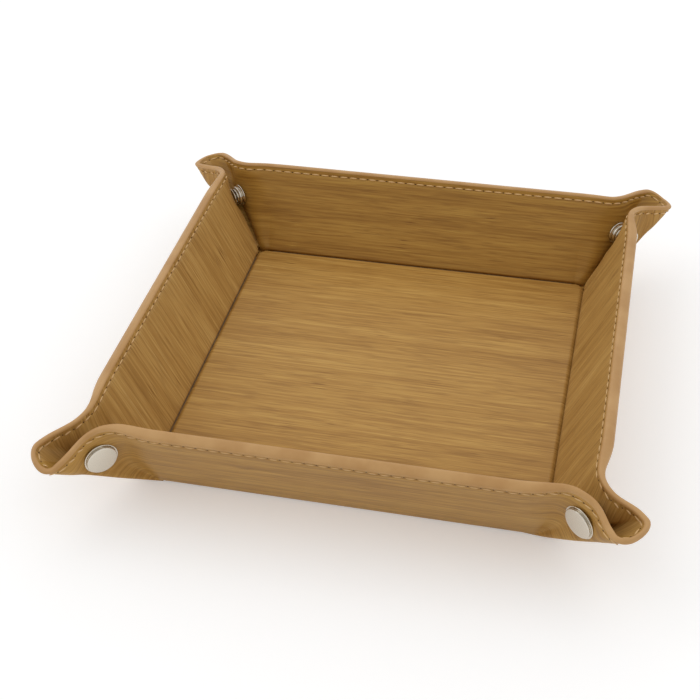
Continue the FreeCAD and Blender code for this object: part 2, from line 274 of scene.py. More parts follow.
def mesh_piece(name, points, faces, blank=None, shades=None):
    """An object from points and faces, with the blank's own coordinates as its UV map."""
    mesh = bpy.data.meshes.new(name)
    mesh.from_pydata([tuple(p) for p in points], [], faces)
    piece = bpy.data.objects.new(name, mesh)
    bpy.context.scene.collection.objects.link(piece)
    if blank is not None:
        layer = mesh.uv_layers.new(name="blank")
        loops = np.empty(len(mesh.loops), dtype=np.int32)
        mesh.loops.foreach_get("vertex_index", loops)
        layer.data.foreach_set("uv", blank[loops].astype(np.float32).ravel())
        for label, values in shades.items():
            mesh.attributes.new(label, "FLOAT", "POINT").data.foreach_set("value", values.astype(np.float32))
    shell = bmesh.new()
    shell.from_mesh(mesh)
    bmesh.ops.remove_doubles(shell, verts=shell.verts, dist=weld_distance)
    bmesh.ops.recalc_face_normals(shell, faces=shell.faces)
    for face in shell.faces:
        face.smooth = True
    for side in shell.edges:
        if len(side.link_faces) == 2 and side.calc_face_angle(0) > sharp_angle:
            side.smooth = False
    shell.to_mesh(mesh)
    shell.free()
    return piece


BLANK_SPAN = 0.25
LINING_SHIFT = np.array([0.31, 1.13])


def lining_painted_light(flat, wall):
    """Masks of painted light on the lining, first cover, then lining: how deep flat points lie in the valley
    round the base, for painted shade in the crease, and on which wall, for painted shade on the end walls and
    painted sheen on the side walls.
    """
    u, v = np.abs(flat[:, 0]), np.abs(flat[:, 1])
    # Painted shade: this valley mask darkens the lining's colour along the crease round the base, where shade
    # falls.
    past = u - half_base - 0.6 * mm
    breadth = np.where(past < 0, 2.6 * mm, 2.2 * mm)
    valley = np.exp(-(past / breadth) ** 2) * (1 - smooth(v, apex_v, half_base))
    # Painted light: the end walls' lining is marked for painted shade and the side walls' lining for painted
    # sheen.
    standing = smooth(u - half_base, -1 * mm, 1 * mm)
    cover = np.zeros(len(flat))
    return {"valley": np.concatenate([cover, valley]),
            "end_wall": np.concatenate([cover, standing * (wall in ("front", "back"))]),
            "side_wall": np.concatenate([cover, standing * (wall in ("left", "right"))])}


def slab(name, grid, wall, end, low, high, fold=fold_up):
    """A closed layer of the sheet over a grid of flat points, between two heights."""
    rows, columns = grid.shape[:2]
    flat = grid.reshape(-1, 2)
    count = len(flat)
    sides = [fold(flat, low(flat), wall, end), fold(flat, high(flat), wall, end)]
    points = stand(np.concatenate(sides), wall, end)
    index = np.arange(count).reshape(rows, columns)
    faces = []
    for i in range(rows - 1):
        for j in range(columns - 1):
            ring = [index[i, j], index[i, j + 1], index[i + 1, j + 1], index[i + 1, j]]
            faces.append([int(k) for k in reversed(ring)])
            faces.append([int(k) + count for k in ring])
    border = list(index[0, :-1]) + list(index[:-1, -1]) + list(index[-1, :0:-1]) + list(index[:0:-1, 0])
    for here, there in zip(border, border[1:] + border[:1]):
        faces.append([int(here), int(there), int(there) + count, int(here) + count])
    blank = stand(flat, wall, end) / BLANK_SPAN + 0.5
    lining = blank + LINING_SHIFT
    return mesh_piece(name, points, faces, np.concatenate([blank, lining]), lining_painted_light(flat, wall))


def flat_grid(rows, columns):
    """A grid of flat points from the u of its rows and the v of its columns."""
    return np.stack(np.meshgrid(rows, columns, indexing="ij"), axis=-1)


# Bamboo leatherette: a satin embossed sheet printed as fine bamboo strips that all run one way.
# Strips a few millimetres wide differ in tone, long fibres streak them, and short dark flecks
# and faint joints cross them here and there.
class Wire:
    """A socket of a material's node tree that can be written into sums as a number is."""

    def __init__(self, tree, socket=None):
        self.tree = tree
        self.socket = socket

    def node(self, kind, settings, inputs, output=0):
        made = self.tree.nodes.new(kind)
        for key, value in settings.items():
            if key != "stops":
                setattr(made, key, value)
                continue
            for number, (place, colour) in enumerate(value):
                ramp = made.color_ramp.elements
                stop = ramp[number] if number < len(ramp) else ramp.new(place)
                stop.position = place
                stop.color = (*colour, 1)
        for key, value in inputs.items():
            if isinstance(value, Wire):
                self.tree.links.new(value.socket, made.inputs[key])
            else:
                made.inputs[key].default_value = value
        return Wire(self.tree, made.outputs[output])

    def math(self, operation, *values):
        return self.node("ShaderNodeMath", {"operation": operation}, dict(enumerate(values)))

    def __add__(self, other):
        return self.math("ADD", self, other)

    def __sub__(self, other):
        return self.math("SUBTRACT", self, other)

    def __rsub__(self, other):
        return self.math("SUBTRACT", other, self)

    def __mul__(self, other):
        return self.math("MULTIPLY", self, other)

    __radd__ = __add__
    __rmul__ = __mul__

    def eased(self, low, high):
        return self.node("ShaderNodeMapRange", {"interpolation_type": "SMOOTHSTEP"},
                         {0: self, 1: low, 2: high})

    def mixed(self, first, second, blend="MIX"):
        return self.node("ShaderNodeMix", {"data_type": "RGBA", "blend_type": blend},
                         {0: self, 6: first, 7: second}, 2)


def new_finish(name, **sockets):
    """A material with its shader's plain values set, and a wire to build the rest from."""
    finish = bpy.data.materials.new(name)
    finish.use_nodes = True
    shader = finish.node_tree.nodes["Principled BSDF"]
    for socket, value in sockets.items():
        shader.inputs[socket.replace("_", " ")].default_value = value
    return finish, shader, Wire(finish.node_tree)


def plug(wire, shader, socket):
    """Feeds a wire into one of the shader's sockets."""
    wire.tree.links.new(wire.socket, shader.inputs[socket])


def rgb(red, green, blue):
    """A colour written as it is seen on screen, from 0 to 255."""
    seen = [channel / 255 for channel in (red, green, blue)]
    return tuple(c / 12.92 if c <= 0.04045 else ((c + 0.055) / 1.055) ** 2.4 for c in seen)


def bamboo_leather(name):
    """The printed leatherette, laid out by the blank's own coordinates."""
    strips_per_metre, joints_per_metre = 190, 5
    finish, shader, start = new_finish(name, Specular_IOR_Level=0.35)
    place = start.node("ShaderNodeUVMap", {"uv_map": "blank"}, {})

    def streaks(along, across, detail, offset):
        spot = start.node("ShaderNodeMapping", {}, {
            "Vector": place, "Scale": (along * BLANK_SPAN, across * BLANK_SPAN, 1),
            "Location": (offset, offset, offset)})
        return start.node("ShaderNodeTexNoise", {"noise_dimensions": "2D"},
                          {"Vector": spot, "Scale": 1.0, "Detail": detail, "Roughness": 0.6})

    along = start.node("ShaderNodeSeparateXYZ", {}, {0: place}, 0) * BLANK_SPAN
    across = start.node("ShaderNodeSeparateXYZ", {}, {0: place}, 1) * BLANK_SPAN
    strip = start.math("FLOOR", across * strips_per_metre)
    chance = start.node("ShaderNodeTexWhiteNoise", {"noise_dimensions": "1D"}, {"W": strip})
    apart = start.math("ABSOLUTE", start.math("FRACT", along * joints_per_metre + chance * 7) - 0.5)
    joint = 1 - apart.eased(0.006, 0.024)
    bands = streaks(4, 150, 2.0, 0.0)
    fibres = streaks(26, 950, 3.0, 4.0)
    dashes = streaks(70, 1500, 1.0, 9.0)
    lines = 1 - start.math("ABSOLUTE", streaks(14, 360, 2.0, 6.0) - 0.5).eased(0.004, 0.04)
    tone = bands * 0.36 + fibres * 0.62 + chance * 0.08 - 0.03
    colour = tone.node("ShaderNodeValToRGB", {"stops": [
        (0.30, rgb(158, 114, 49)), (0.45, rgb(179, 133, 63)),
        (0.58, rgb(192, 147, 74)), (0.72, rgb(205, 162, 87))]}, {"Fac": tone})
    dark = start.math("MAXIMUM", dashes.eased(0.58, 0.78) * (0.4 + joint * 0.5), lines * 0.3)
    colour = dark.mixed(colour, (*rgb(132, 89, 36), 1))
    pale = (1 - dashes.eased(0.22, 0.42)) * (0.25 + joint * 0.4)
    colour = pale.mixed(colour, (*rgb(215, 173, 91), 1))
    # Painted light: the end walls' lining is darkened and yellowed as painted shade, and the side walls'
    # lining paled and cooled as painted sheen.
    end_wall, side_wall, valley = [start.node("ShaderNodeAttribute", {"attribute_name": label}, {}, 2)
                                   for label in ("end_wall", "side_wall", "valley")]
    colour = end_wall.mixed(colour, (0.89, 0.88, 0.70, 1), "MULTIPLY")
    colour = side_wall.mixed(colour, (1.0, 1.05, 1.28, 1), "MULTIPLY")
    # Painted shade: the lining is darkened towards a deep brown along the crease valley round the base.
    colour = (valley * 0.7).mixed(colour, (*rgb(122, 72, 26), 1))
    plug(colour, shader, "Base Color")
    plug(0.40 + fibres * 0.16, shader, "Roughness")
    relief = start.node("ShaderNodeBump", {}, {
        "Height": fibres * 0.7 + bands * 0.3 - dark * 0.4, "Strength": 0.25, "Distance": 0.15 * mm})
    plug(relief, shader, "Normal")
    return finish


leather = bamboo_leather("bamboo_leatherette")

# The base: cover below and lining above a square board, both flat and reaching almost to the creases.
# It is glued up as one panel; the tray stands on the cover's underside.


def lie_flat(flat, height, wall, end):
    """Leaves the base's points where they lie on the flat blank."""
    return np.column_stack([flat, height])


def panel_height(value):
    """A face at the same height over every flat point."""
    return lambda flat: np.full(len(flat), value)


base_rows = np.linspace(-inner_half, inner_half, 25)
base_grid = flat_grid(base_rows, base_rows)
base_cover = slab("base_cover_leather", base_grid, "right", 1, panel_height(0), panel_height(ply), lie_flat)
base_lining = slab("base_lining_leather", base_grid, "right", 1, panel_height(wall_thickness - ply),
                   panel_height(wall_thickness), lie_flat)
for piece, node, slot in ((base_cover, "base_cover", "cover_leather"),
                          (base_lining, "base_lining", "lining_leather")):
    piece.data.materials.append(leather)
    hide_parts(node)
    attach(piece, "base")

# The base's cut corners: cover and lining close on each other here, past the end of the board.
# They are glued face to face and pinched down to the creases.
corner_steps = np.linspace(0, 1, 9)


def corner_top(flat):
    """Height of a cut corner's upper face, pinched down along both creases."""
    return np.minimum(thickness(flat), thickness(flat[:, ::-1]))


for wall in WALL_SPIN:
    grid = inner_half + flat_grid(corner_steps, corner_steps) * (half_base - inner_half)
    over = np.maximum(grid.sum(axis=-1) - half_base - apex_v, 0) / 2
    grid = grid - over[..., None]
    foot = slab(f"{CORNER[(wall, 1)]}_base_corner", grid, wall, 1, panel_height(0), corner_top, lie_flat)
    foot.data.materials.append(leather)
    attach(foot, "base")

# The creases at the foot of the walls: the boards stop short, so cover and lining fold here.
# The sheet rounds over outside and pinches into a soft valley inside.
fold_middle = (math.pi / 2 - lean) / 2
crease_half = 2.5 * mm


def across_fold(origin, direction, before, after):
    """Start and end of a blend, measured from a crease."""
    direction = np.array(direction) / np.linalg.norm(direction)
    return origin + direction * before, origin + direction * after


def stood(point, wall, end):
    """A point of the right wall's back half, taken to another wall or end, as plain numbers."""
    return tuple(float(c) for c in stand(np.array(point), wall, end))


crease_start, crease_end = across_fold(
    np.array([half_base, 0, 0]), (math.cos(fold_middle), 0, math.sin(fold_middle)),
    -crease_half, crease_half)
crease_rows = half_base + np.concatenate([
    np.linspace(-strip_reach, -4.8 * mm, 3), np.linspace(-4.4 * mm, 3.2 * mm, 29),
    np.linspace(3.6 * mm, strip_reach, 3)])
wall_columns = np.linspace(-inner_half, inner_half, 41)
crease_grid = flat_grid(crease_rows, wall_columns)
crease_layers = (("cover", panel_height(0), panel_height(ply)), ("lining", under_lining, inner_face))
for wall in WALL_SPIN:
    for layer, low, high in crease_layers:
        strip = slab(f"{wall}_crease_{layer}", crease_grid, wall, 1, low, high)
        strip.data.materials.append(leather)
        wall + "_wall"
        stood(crease_start, wall, 1)
        stood(crease_end, wall, 1)
        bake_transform(strip)

# The walls: cover outside and lining inside a stiff board, flat from the crease to the painted edge.
# Each leans out and is stitched round its edge.
seam_zone = 6 * mm
seam_rows_start = 5.4 * mm
sheet_inset = band_width * 0.6
wall_rows = np.concatenate([
    np.linspace(half_base + strip_reach, edge - seam_zone, 12),
    np.linspace(edge - seam_rows_start, edge - sheet_inset, 15)])
wall_grid = flat_grid(wall_rows, wall_columns)
for wall in WALL_SPIN:
    for layer, low, high in (("cover", outer_face, under_cover), ("lining", under_lining, inner_face)):
        sheet = slab(f"{wall}_{layer}_leather", wall_grid, wall, 1, low, high)
        sheet.data.materials.append(leather)
        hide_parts(f"{wall}_{layer}")
        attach(sheet, wall + "_wall")

# The ears: beyond the boards cover and lining are glued face to face and stay soft.
# Each corner is pinched outwards into a flattened loop, from both walls that meet there,
# and its snap holds the two halves together.
root = 3.5 * mm


def corner_columns():
    """Columns of the corner's half, each from the apex's line, over the root, to the cut edge."""
    columns = []
    crease_root = apex_v + root * math.tan(ear_crease)
    crease_edge = apex_v + wall_height * math.tan(ear_crease)
    for part in np.concatenate([np.linspace(0, 0.7, 9), np.linspace(0.75, 0.98, 9)]):
        start = inner_half + part * (apex_v - inner_half)
        middle = inner_half + part * (crease_root - inner_half)
        end = inner_half + part * (crease_edge - inner_half)
        columns.append(((half_base, start), (half_base + root, middle), (edge, end)))
    turns = np.concatenate([np.linspace(ear_crease, ear_crease + 0.14, 11)[:-1],
                            np.linspace(ear_crease + 0.14, math.pi / 4, 17)])
    for turn in turns:
        slope = math.tan(turn)
        columns.append(((half_base, apex_v), (half_base + root, apex_v + root * slope),
                        (edge, apex_v + wall_height * slope)))
    for aside in np.linspace(0, ear_half, 13)[1:]:
        shift = np.array([-aside, aside]) / math.sqrt(2)
        start = np.array([half_base, apex_v]) + shift
        middle = start + root
        columns.append((start, middle, start + wall_height * 1.2))
    return [[np.array(point, float) for point in column] for column in columns]


def cut_at_edge(start, end, inset):
    """The point between start and end that lies this far inside the cut edge."""
    low, high = 0.0, 1.0
    for _ in range(40):
        half = (low + high) / 2
        if edge_distance((start + half * (end - start))[None])[0] > inset:
            low = half
        else:
            high = half
    return start + low * (end - start)


def off_middle(start, root_end, end):
    """How far round the panel a column lies from the line where the ear is parted into two pieces."""
    if start[1] < apex_v or start[0] < half_base:
        return math.inf
    return abs(math.atan2(end[1] - apex_v, end[0] - half_base) - ear_middle)


columns = corner_columns()
middle_column = int(np.argmin([off_middle(*column) for column in columns]))
column_starts = np.array([column[0] for column in columns])
crease_column = int((column_starts[:, 1] < apex_v - slack).sum())
fold_column = int((column_starts[:, 0] > half_base - slack).sum()) - 1
row_parts = np.linspace(0, 1, 20)
insets = np.linspace(seam_rows_start, sheet_inset, 15)


def sheet_column(column):
    """Flat points of one column, close together near the seam."""
    start, end = column[1], column[2]
    near = cut_at_edge(start, end, seam_zone)
    below_seam = [start + part * (near - start) for part in row_parts]
    return below_seam + [cut_at_edge(start, end, inset) for inset in insets]


corner_grid = np.array([sheet_column(column) for column in columns]).transpose(1, 0, 2)
root_grid = np.array([[column[0] + part * (column[1] - column[0]) for column in columns]
                      for part in np.linspace(0, 1, 7)])
apex = np.array([half_base, apex_v, 0])
up_wall = np.array([math.sin(lean), 0, math.cos(lean)])
in_wall = np.array([0, 1, 0]) * math.cos(ear_crease) - up_wall * math.sin(ear_crease)
crease_line = up_wall * math.cos(ear_crease) + np.array([0, 1, 0]) * math.sin(ear_crease)
in_ear = np.cross(crease_line, np.array([1, -1, 0]) / math.sqrt(2))
in_ear = in_ear * math.copysign(1, in_ear @ in_wall)
in_loop = np.array([-1, 1, 0]) / math.sqrt(2)
fold_line = fold_up(np.array([[edge, apex_v + wall_height]]), np.zeros(1))[0] - apex
fold_line = np.array([fold_line[:2].mean(), fold_line[:2].mean(), fold_line[2]])
in_panel = np.cross(fold_line, in_loop)
in_panel = in_panel / np.linalg.norm(in_panel)
in_panel = in_panel * math.copysign(1, -in_panel[2])


def zone_bends(neck_half, loop_low, loop_high):
    """Start and end of the bend at the neck, then at the loop's fold, by millimetres off the apex."""
    neck_bend = across_fold(apex, in_wall + in_ear, -neck_half * mm, neck_half * mm)
    loop_bend = across_fold(apex, in_panel + in_loop, loop_low * mm, loop_high * mm)
    return *neck_bend, *loop_bend


# Neck and fold run together at the apex, so the rows near it bend more sharply than the rows near the edge.
# Each zone has its first and last row, half the width of its neck's bend, and its loop's bend from and to.
EAR_ROWS = ((0, 5, 0.6, 0.7, 2.3), (5, 9, 1.9, -0.3, 1.7), (9, 14, 3.0, -1.1, 1.6), (14, 34, 4.3, -2.0, 1.6))
for (wall, end), corner in CORNER.items():
    ear = f"{corner}_ear_{wall}"
    loop = f"{corner}_loop_{wall}"
    foot = slab(f"{corner}_root_{wall}", root_grid[:, :crease_column + 1], wall, end, outer_face, inner_face)
    foot.data.materials.append(leather)
    wall + "_wall"
    stood(crease_start, wall, end)
    stood(crease_end, wall, end)
    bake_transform(foot)
    for number, (low, high, *bends) in enumerate(EAR_ROWS):
        rows = corner_grid[low:high + 1]
        neck_start, neck_end, loop_start, loop_end = zone_bends(*bends)
        if number == 0:
            neck_root = root_grid[:, crease_column:fold_column + 1]
            neck = slab(f"{ear}_root", neck_root, wall, end, outer_face, inner_face)
            head = slab(f"{loop}_root", root_grid[:, fold_column:], wall, end, outer_face, inner_face)
            for piece in (neck, head):
                piece.data.materials.append(leather)
            wall + "_wall"
            stood(neck_start, wall, end)
            stood(neck_end, wall, end)
            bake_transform(neck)
            stood(loop_start, wall, end)
            stood(loop_end, wall, end)
            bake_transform(head)
        neck = slab(f"{ear}_leather_{number}", rows[:, :middle_column + 1], wall, end, outer_face, inner_face)
        head = slab(f"{loop}_leather_{number}", rows[:, middle_column:], wall, end, outer_face, inner_face)
        for piece, node in ((neck, ear), (head, loop)):
            piece.data.materials.append(leather)
            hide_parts(node)
        wall + "_wall"
        stood(neck_start, wall, end)
        stood(neck_end, wall, end)
        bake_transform(neck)
        stood(loop_start, wall, end)
        stood(loop_end, wall, end)
        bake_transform(head)

# The edge band: the painted lighter edge that closes the cut sheet, rounded over from face to face.
# It runs all round the blank: along the walls, over the necks and round the heads of the ears.
band_finish, band_shader, band_start = new_finish("painted_edge", Roughness=0.42, Specular_IOR_Level=0.4)
band_spot = band_start.node("ShaderNodeTexCoord", {}, {}, 3)
band_tone = band_start.node("ShaderNodeTexNoise", {}, {"Vector": band_spot, "Scale": 90.0, "Detail": 3.0})
band_colour = band_tone.eased(0.3, 0.7).mixed((*rgb(188, 142, 86), 1), (*rgb(202, 158, 102), 1))
plug(band_colour, band_shader, "Base Color")
band_turns = np.linspace(0, math.pi, 11)
band_lap = 0.10 * mm


def outward(flat):
    """Which way the nearest cut edge lies from flat points of the corner's half."""
    over = np.maximum(flat - (edge - corner_radius), 0)
    over[over.min(axis=1) <= 0] = (1, 0)
    return over / np.linalg.norm(over, axis=1)[:, None]


def edge_bead(name, path, wall, end):
    """A rounded bead along flat points that lie a band's width inside the cut edge."""
    way = outward(path)
    thick = thickness(path)
    rings = []
    for turn in band_turns:
        proud = band_width * math.sin(turn) ** 0.8
        level = math.copysign(abs(math.cos(turn)) ** 0.75, math.cos(turn))
        height = thick / 2 - (thick / 2 + band_lap) * level
        rings.append(stand(fold_up(path + way * proud, height, wall, end), wall, end))
    points = np.concatenate(rings)
    count = len(path)
    faces = []
    for ring in range(len(rings)):
        after = (ring + 1) % len(rings)
        for step in range(count - 1):
            here, there = ring * count + step, after * count + step
            faces.append([here, here + 1, there + 1, there])
    faces.append([ring * count for ring in range(len(rings))])
    faces.append([ring * count + count - 1 for ring in range(len(rings))])
    bead = mesh_piece(name, points, faces)
    bead.data.materials.append(band_finish)
    return bead


wall_line = np.column_stack([np.full(len(wall_columns), edge - band_width), wall_columns])
corner_line = np.array([cut_at_edge(column[1], column[2], band_width) for column in columns])
for wall in WALL_SPIN:
    bead = edge_bead(f"{wall}_edge_bead", wall_line, wall, 1)
    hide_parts(f"{wall}_edge_band")
    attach(bead, wall + "_wall")
# Round the ears the band, and the seam after it, are split at the ear's middle, as the rows are; the
# outermost rows' bend span is worked out first.
neck_start, neck_end, loop_start, loop_end = zone_bends(*EAR_ROWS[-1][2:])
for (wall, end), corner in CORNER.items():
    ear = f"{corner}_ear_{wall}"
    loop = f"{corner}_loop_{wall}"
    bead = edge_bead(f"{ear}_bead", corner_line[:middle_column + 1], wall, end)
    wall + "_wall"
    stood(neck_start, wall, end)
    stood(neck_end, wall, end)
    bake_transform(bead)
    bead = edge_bead(f"{loop}_bead", corner_line[middle_column:], wall, end)
    stood(loop_start, wall, end)
    stood(loop_end, wall, end)
    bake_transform(bead)

# The seam: pale thread stitched through all the layers round the blank, pulled into a shallow groove.
# Each stitch is a short plump loop of thread between two needle holes, on both faces; each hole is a small
# dark dot of painted shade.
thread_finish, _, _ = new_finish("thread", Base_Color=(*rgb(222, 184, 128), 1), Roughness=0.6)
# The needle holes' dark colour is painted shade, standing in for the shade inside each hole.
hole_painted_shade, _, _ = new_finish("needle_hole_painted_shade", Base_Color=(*rgb(74, 46, 20), 1), Roughness=0.8)
seam_radius = corner_radius - seam_inset
seam_straight = edge - corner_radius
seam_half = seam_straight + seam_radius * math.pi / 4
stitch_length = 4.2 * mm
stitch_count = round(seam_half / stitch_length)
stitch_pitch = seam_half / stitch_count


def seam_point(way):
    """Flat points of the seam, at distances from the middle of a wall."""
    turn = np.maximum(way - seam_straight, 0) / seam_radius
    u = edge - seam_inset - seam_radius * (1 - np.cos(turn))
    v = np.minimum(way, seam_straight) + seam_radius * np.sin(turn)
    return np.column_stack([u, v])


stitch_tree = bpy.data.node_groups.new("stitches", "GeometryNodeTree")
for name, kind in (("Points", "NodeSocketGeometry"), ("Stitch", "NodeSocketVector"),
                   ("Hole", "NodeSocketVector")):
    stitch_tree.interface.new_socket(name, in_out="INPUT", socket_type=kind)
stitch_tree.interface.new_socket("Seam", in_out="OUTPUT", socket_type="NodeSocketGeometry")
stitch_in = stitch_tree.nodes.new("NodeGroupInput")
stitch_out = stitch_tree.nodes.new("NodeGroupOutput")


def geometry_node(kind, settings, links):
    """A node of the stitch tree, with its settings and what feeds its sockets."""
    made = stitch_tree.nodes.new(kind)
    for key, value in settings.items():
        setattr(made, key, value)
    for key, value in links.items():
        if isinstance(value, bpy.types.NodeSocket):
            stitch_tree.links.new(value, made.inputs[key])
        else:
            made.inputs[key].default_value = value
    return made


def stored_field(kind, label):
    """A node that reads what is stored on the points under a label."""
    return geometry_node("GeometryNodeInputNamedAttribute", {"data_type": kind}, {"Name": label})


along_field = stored_field("FLOAT_VECTOR", "along")
out_field = stored_field("FLOAT_VECTOR", "outward")
facing = geometry_node("FunctionNodeAxesToRotation", {"primary_axis": "Z", "secondary_axis": "X"},
                       {0: out_field.outputs[0], 1: along_field.outputs[0]})
is_hole = stored_field("BOOLEAN", "hole")
is_stitch = geometry_node("FunctionNodeBooleanMath", {"operation": "NOT"}, {0: is_hole.outputs[0]})
seam_join = geometry_node("GeometryNodeJoinGeometry", {}, {})
for size, finish, chosen in (("Stitch", thread_finish, is_stitch), ("Hole", hole_painted_shade, is_hole)):
    ball = geometry_node("GeometryNodeMeshUVSphere", {}, {"Segments": 8, "Rings": 5, "Radius": 0.5})
    shaped = geometry_node("GeometryNodeTransform", {}, {
        "Geometry": ball.outputs[0], "Scale": stitch_in.outputs[size]})
    set_out = geometry_node("GeometryNodeInstanceOnPoints", {}, {
        "Points": stitch_in.outputs["Points"], "Selection": chosen.outputs[0],
        "Instance": shaped.outputs[0], "Rotation": facing.outputs[0]})
    real = geometry_node("GeometryNodeRealizeInstances", {}, {0: set_out.outputs[0]})
    rounded = geometry_node("GeometryNodeSetShadeSmooth", {}, {0: real.outputs[0]})
    dressed = geometry_node("GeometryNodeSetMaterial", {}, {
        "Geometry": rounded.outputs[0], "Material": finish})
    stitch_tree.links.new(dressed.outputs[0], seam_join.inputs[0])
stitch_tree.links.new(seam_join.outputs[0], stitch_out.inputs[0])
stitch_sizes = {"Stitch": (3.3 * mm, 0.62 * mm, 0.55 * mm), "Hole": (0.7 * mm, 0.55 * mm, 0.24 * mm)}


def stitched(name, ways, wall, ends):
    """Stitches on both faces at distances along the seam, as one piece."""
    probe, stitch_proud = 0.2 * mm, 0.1 * mm
    spots, tangents, normals, holes = [], [], [], []
    for end in ends:
        for inner in (True, False):
            face = inner_face if inner else outer_face
            along = np.concatenate([ways, ways - end * stitch_pitch / 2])
            flat, ahead = seam_point(along), seam_point(along + probe)
            here = fold_up(flat, face(flat), wall, end)
            lifted = fold_up(flat, face(flat) + (probe if inner else -probe), wall, end)
            normal = (lifted - here) / probe
            tangent = (fold_up(ahead, face(ahead), wall, end) - here) / probe
            hole = np.arange(len(along)) >= len(ways)
            spots.append(stand(here + normal * np.where(hole, 0, stitch_proud)[:, None], wall, end))
            tangents.append(stand(tangent, wall, end))
            normals.append(stand(normal, wall, end))
            holes.append(hole)
    points = bpy.data.meshes.new(name)
    points.from_pydata([tuple(p) for p in np.concatenate(spots)], [], [])
    points.attributes.new("hole", "BOOLEAN", "POINT").data.foreach_set("value", np.concatenate(holes))
    for label, values in (("along", tangents), ("outward", normals)):
        field = points.attributes.new(label, "FLOAT_VECTOR", "POINT")
        field.data.foreach_set("vector", np.concatenate(values).astype(np.float32).ravel())
    row = bpy.data.objects.new(name, points)
    bpy.context.scene.collection.objects.link(row)
    sewing = row.modifiers.new("sewing", "NODES")
    sewing.node_group = stitch_tree
    for item in stitch_tree.interface.items_tree:
        if item.in_out == "INPUT" and item.name in stitch_sizes:
            sewing[item.identifier] = stitch_sizes[item.name]
    made = bpy.data.meshes.new_from_object(row.evaluated_get(bpy.context.evaluated_depsgraph_get()))
    row.modifiers.remove(sewing)
    row.data = made
    made.name = name
    return row


stitch_ways = (np.arange(stitch_count) + 0.5) * stitch_pitch
stitch_spots = seam_point(stitch_ways)
stitch_turns = np.arctan2(stitch_spots[:, 1] - apex_v, stitch_spots[:, 0] - half_base)
on_wall = stitch_spots[:, 1] < inner_half
on_loop = ~on_wall & (stitch_turns > ear_middle)
for wall in WALL_SPIN:
    row = stitched(f"{wall}_seam", stitch_ways[on_wall], wall, (1, -1))
    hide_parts(f"{wall}_stitches")
    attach(row, wall + "_wall")
for (wall, end), corner in CORNER.items():
    ear = f"{corner}_ear_{wall}"
    loop = f"{corner}_loop_{wall}"
    row = stitched(f"{ear}_seam", stitch_ways[~on_wall & ~on_loop], wall, (end,))
    wall + "_wall"
    stood(neck_start, wall, end)
    stood(neck_end, wall, end)
    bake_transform(row)
    row = stitched(f"{loop}_seam", stitch_ways[on_loop], wall, (end,))
    stood(loop_start, wall, end)
    stood(loop_end, wall, end)
    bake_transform(row)

# The press snaps: nickel-plated pressed metal, cap and socket on one half of an ear, stud and post
# on the other, each pair riveted through the two plies. Heights are measured from the ear's middle.
nickel, _, _ = new_finish("nickel_plate", Base_Color=(0.66, 0.61, 0.52, 1), Metallic=1.0, Roughness=0.22)
snap_steps = 48


def turned_piece(name, profile, centre, axis):
    """Turns a profile of radius and height, from axis to axis, about an axis through a centre."""
    level = Vector(axis).to_track_quat("Z", "Y").to_matrix()
    points = []
    for step in range(snap_steps):
        angle = 2 * math.pi * step / snap_steps
        for radius, height in profile:
            spot = level @ Vector((radius * math.cos(angle), radius * math.sin(angle), height))
            points.append(Vector(centre) + spot)
    count = len(profile)
    faces = []
    for step in range(snap_steps):
        after = (step + 1) % snap_steps
        for ring in range(count - 1):
            here, there = step * count + ring, after * count + ring
            faces.append([here, there, there + 1, here + 1])
    piece = mesh_piece(name, points, faces)
    piece.data.materials.append(nickel)
    return piece


def arc(radius, height, size, start, stop, steps=7):
    """Points of an arc in a profile, by angles in degrees from straight out."""
    turns = np.radians(np.linspace(start, stop, steps))
    return [(radius + size * math.cos(turn), height + size * math.sin(turn)) for turn in turns]


def dome(radius, low, high, steps=9):
    """Points of a shallow dome from a radius in to the axis."""
    parts = np.linspace(0, 1, steps)
    return [(radius * (1 - part), low + (high - low) * (1 - (1 - part) ** 2)) for part in parts]


def ear_seat(wall, end):
    """Where a snap sits on the outside of an ear's half, and which way the leather faces there."""
    ring = np.radians(np.arange(0, 360, 30))
    seat_radius = 5.5
    spots = np.column_stack([np.cos(ring), np.sin(ring)]) * seat_radius * mm + snap_spot(CORNER[(wall, end)])
    face = stand(fold_up(spots, np.zeros(len(ring)), wall, end), wall, end)
    centre = face.mean(axis=0)
    normal = np.linalg.svd(face - centre)[2][2]
    inside = stand(fold_up(spots, np.full(len(ring), ply), wall, end), wall, end).mean(axis=0)
    normal = normal * math.copysign(1, normal @ (centre - inside))
    return centre + normal * 0.5 * ((face - centre) @ normal).max(), normal


def snap_across(node):
    """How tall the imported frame's snap piece is, which is its diameter."""
    low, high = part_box(node)
    return high[2] - low[2]


face_out = ear_half
face_in = ear_half - ear_thickness
cap_radius = snap_across("front_left_snap_cap") / 2
socket_radius = snap_across("front_left_snap_socket") / 2
stud_radius = snap_across("front_left_snap_stud") / 2
post_radius = snap_across("front_left_snap_post") / 2
cap_rim = 0.3 * mm
socket_rim = 0.4 * mm
stud_rim = 0.28 * mm
post_rim = 0.45 * mm
rivet = 1.2 * mm
rivet_end = face_in + 0.2 * mm
cap_profile = ([(0, rivet_end), (rivet, rivet_end), (rivet, face_out)]
               + arc(cap_radius - cap_rim, face_out + cap_rim, cap_rim, -90, 90, 8)
               + [(cap_radius - 0.9 * mm, face_out + 0.5 * mm), (cap_radius - 0.95 * mm, face_out + 0.8 * mm)]
               + arc(cap_radius - 0.95 * mm, face_out + 1.2 * mm, 0.25 * mm, -60, 80, 7)
               + dome(cap_radius - 1.0 * mm, face_out + 1.47 * mm, face_out + 1.8 * mm, 10))
socket_mouth = face_in - 3.3 * mm
socket_bore = 2.3 * mm
socket_floor = face_in - 0.6 * mm
